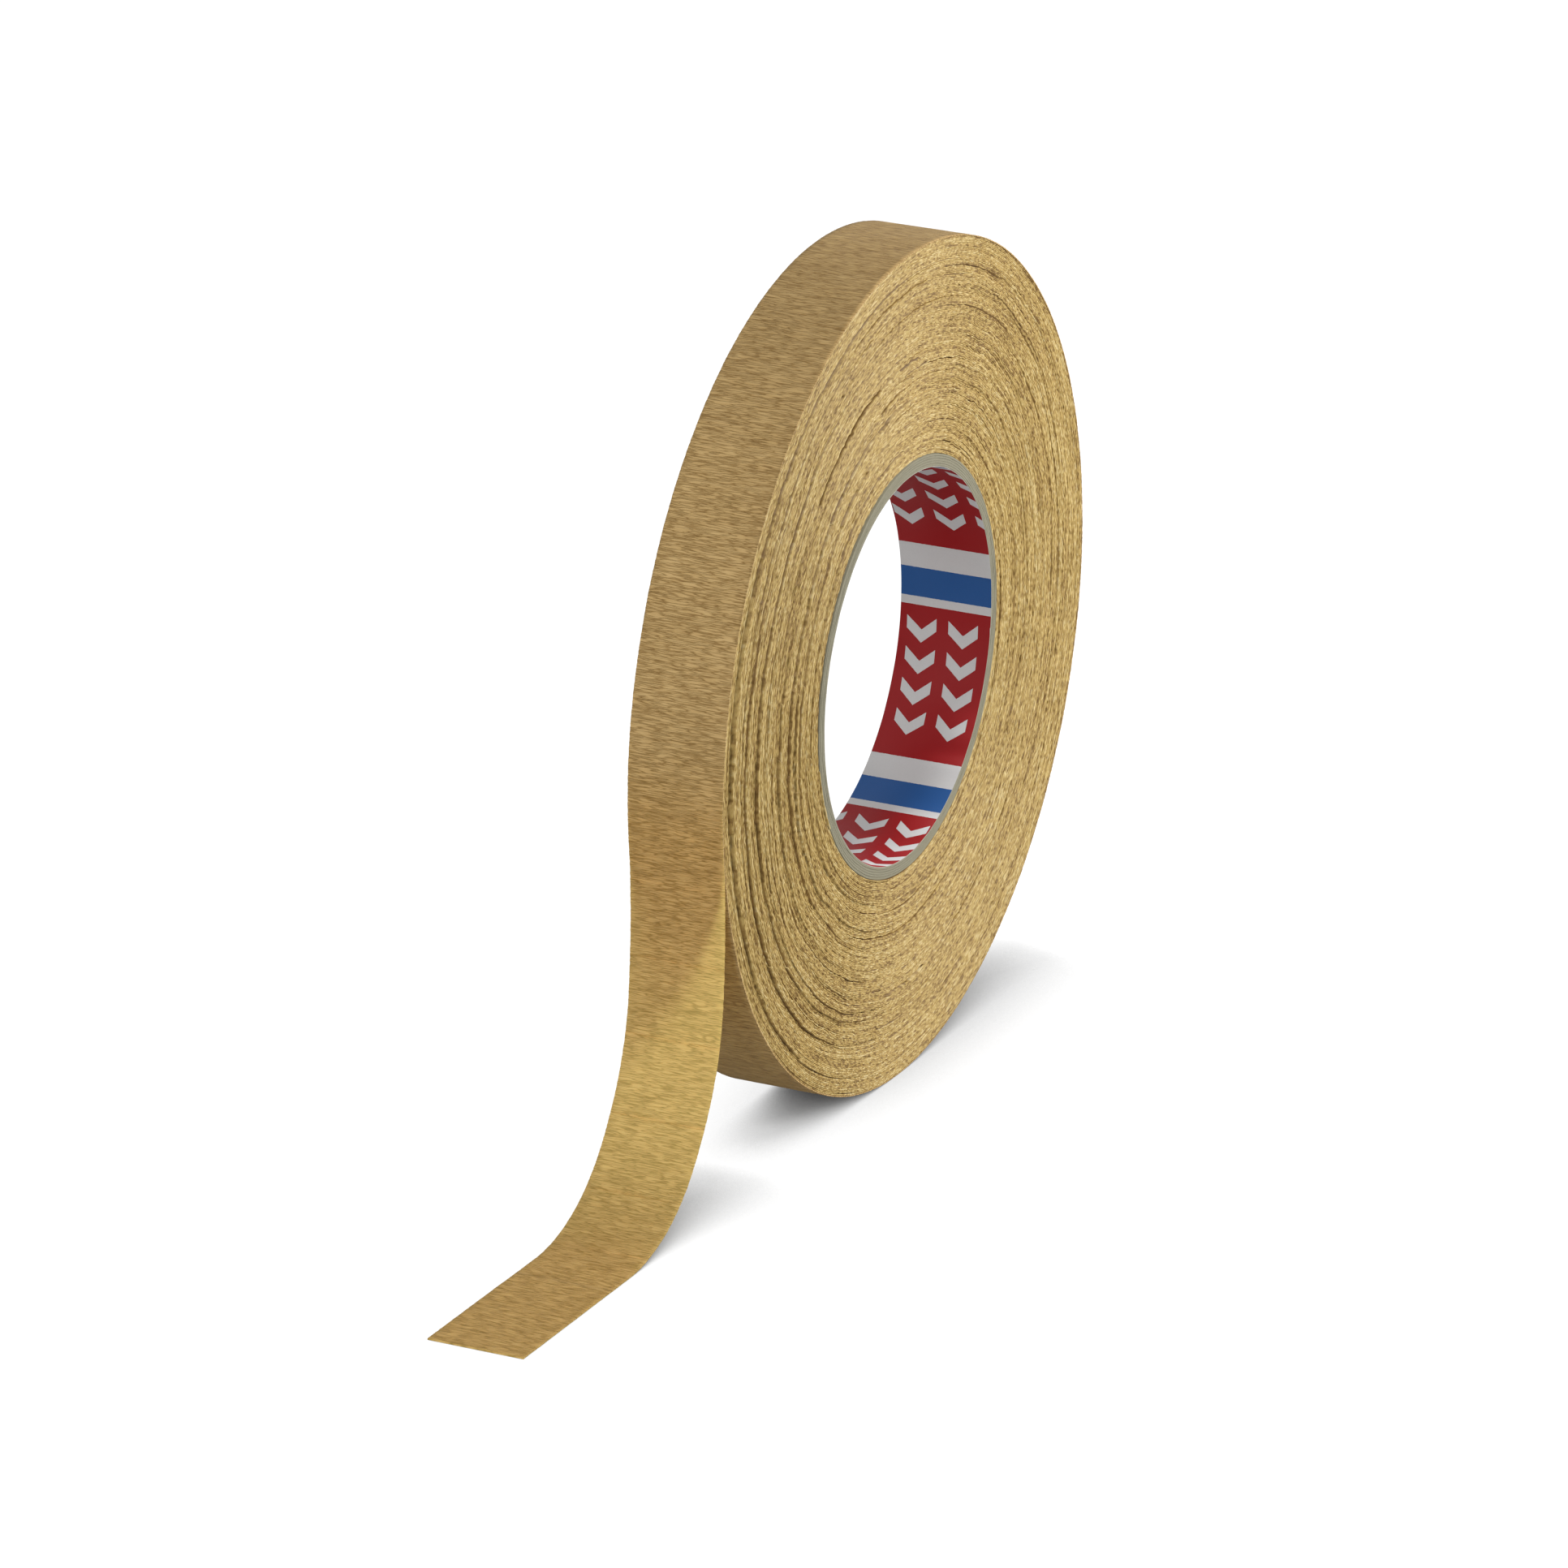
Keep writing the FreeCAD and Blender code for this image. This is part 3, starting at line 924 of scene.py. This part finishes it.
SHADOW_REACH = 0.034
SHADOW_DEPTH = 2.4
SHADOW_SAMPLES = 16
SHADOW_OPEN_SIDE = Vector((-0.62, 0.80, 0.28)).normalized()  # the painted floor shadow opens towards here, and towards the same on the near side
FLOOR_SIZE = 8.0
FLOOR_GAP = 0.02 * MM  # under the object
FLOOR_GLOW = 1.02
FLOOR_TONES = ((0.07, 0.07, 0.07), (0.09, 0.09, 0.09))
FLOOR_BOUNCE = (0.45, 0.45, 0.45, 1.0)


def sky_share(shader, towards):
    """How much of the sky around one direction a place on the floor can see, 0 to 1, for the painted floor shadow.
    """
    nearby = shader.add("ShaderNodeAmbientOcclusion", samples=SHADOW_SAMPLES)
    nearby.inputs["Distance"].default_value = SHADOW_REACH
    shader.put(shader.join(*towards), nearby.inputs["Normal"])
    under_floor = (1 - towards.z) / 2
    return shader.math("DIVIDE", shader.math("SUBTRACT", nearby.outputs["AO"], under_floor), 1 - under_floor)


def floor_material():
    """Pale floor. The camera sees it glowing, as a light table does, with a painted contact shadow where ambient
    occlusion dims the glow, and it throws only a little light up.
    """
    shader = Shader("floor")
    cloud = shader.noise(shader.position, 3.0, 2.0, 0.5)
    shader.finish(shader.mix(cloud, *FLOOR_TONES), 0.9, specular=0.0)
    near_sky = sky_share(shader, SHADOW_OPEN_SIDE * Vector((1, -1, 1)))
    far_sky = sky_share(shader, SHADOW_OPEN_SIDE)
    # Painted shadow: ambient occlusion dims the floor's glow near the object, while the lamps' own shadows barely
    # show on its dark base colour.
    clear = shader.math("MAXIMUM", shader.math("MAXIMUM", near_sky, far_sky), 0.0)
    clear = shader.math("POWER", clear, SHADOW_DEPTH)
    shader.put(shader.math("MULTIPLY", clear, FLOOR_GLOW), shader.bsdf.inputs["Emission Strength"])
    shader.bsdf.inputs["Emission Color"].default_value = (*FULL, 1.0)
    plain = shader.add("ShaderNodeBsdfDiffuse")
    plain.inputs["Color"].default_value = FLOOR_BOUNCE
    seen = shader.add("ShaderNodeLightPath").outputs["Is Camera Ray"]
    both = shader.add("ShaderNodeMixShader")
    shader.put(seen, both.inputs[0])
    shader.put(plain.outputs[0], both.inputs[1])
    shader.put(shader.bsdf.outputs[0], both.inputs[2])
    shader.put(both.outputs[0], shader.output.inputs["Surface"])
    return shader.material


HORIZON_LIGHT = 1.0
OVERHEAD_LIGHT = 0.3


def surround():
    """An even white surround, dimmer overhead than at the horizon."""
    world = bpy.data.worlds.new("surround")
    bpy.context.scene.world = world
    world.use_nodes = True
    tree = world.node_tree
    height = tree.nodes.new("ShaderNodeSeparateXYZ")
    tree.links.new(tree.nodes.new("ShaderNodeTexCoord").outputs["Generated"], height.inputs[0])
    level = tree.nodes.new("ShaderNodeMapRange")
    level.inputs["To Min"].default_value = HORIZON_LIGHT
    level.inputs["To Max"].default_value = OVERHEAD_LIGHT
    tree.links.new(height.outputs["Z"], level.inputs["Value"])
    tree.links.new(level.outputs["Result"], tree.nodes["Background"].inputs["Strength"])
    tree.nodes["Background"].inputs["Color"].default_value = (*FULL, 1.0)


def stage():
    """The floor, the surround and the lamps."""
    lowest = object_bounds()[0].z
    bpy.ops.mesh.primitive_plane_add(size=FLOOR_SIZE, location=(0, 0, lowest - FLOOR_GAP))
    floor = bpy.context.object
    floor.name = "floor"
    floor.data.materials.append(floor_material())
    floor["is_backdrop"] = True
    surround()
    softbox("key", (0.50, -0.71, 0.25), 0.27, 7.6)
    softbox("fill", (-1.5, 0.1, 0.55), 0.9, 7.0)
    bpy.context.scene.view_settings.view_transform = "Standard"


# ---------------------------------------------------------------- build

lap_edges = lap_edge_material()
for band_number in range(BAND_COUNT):
    lap_band(band_number, lap_edges)
adhesive = adhesive_material()
outer_lap([crepe_material("crepe_on_roll", 0.0), adhesive])
core()
tail([crepe_material("crepe_tail", LIGHT_THROUGH), adhesive])
camera()
stage()
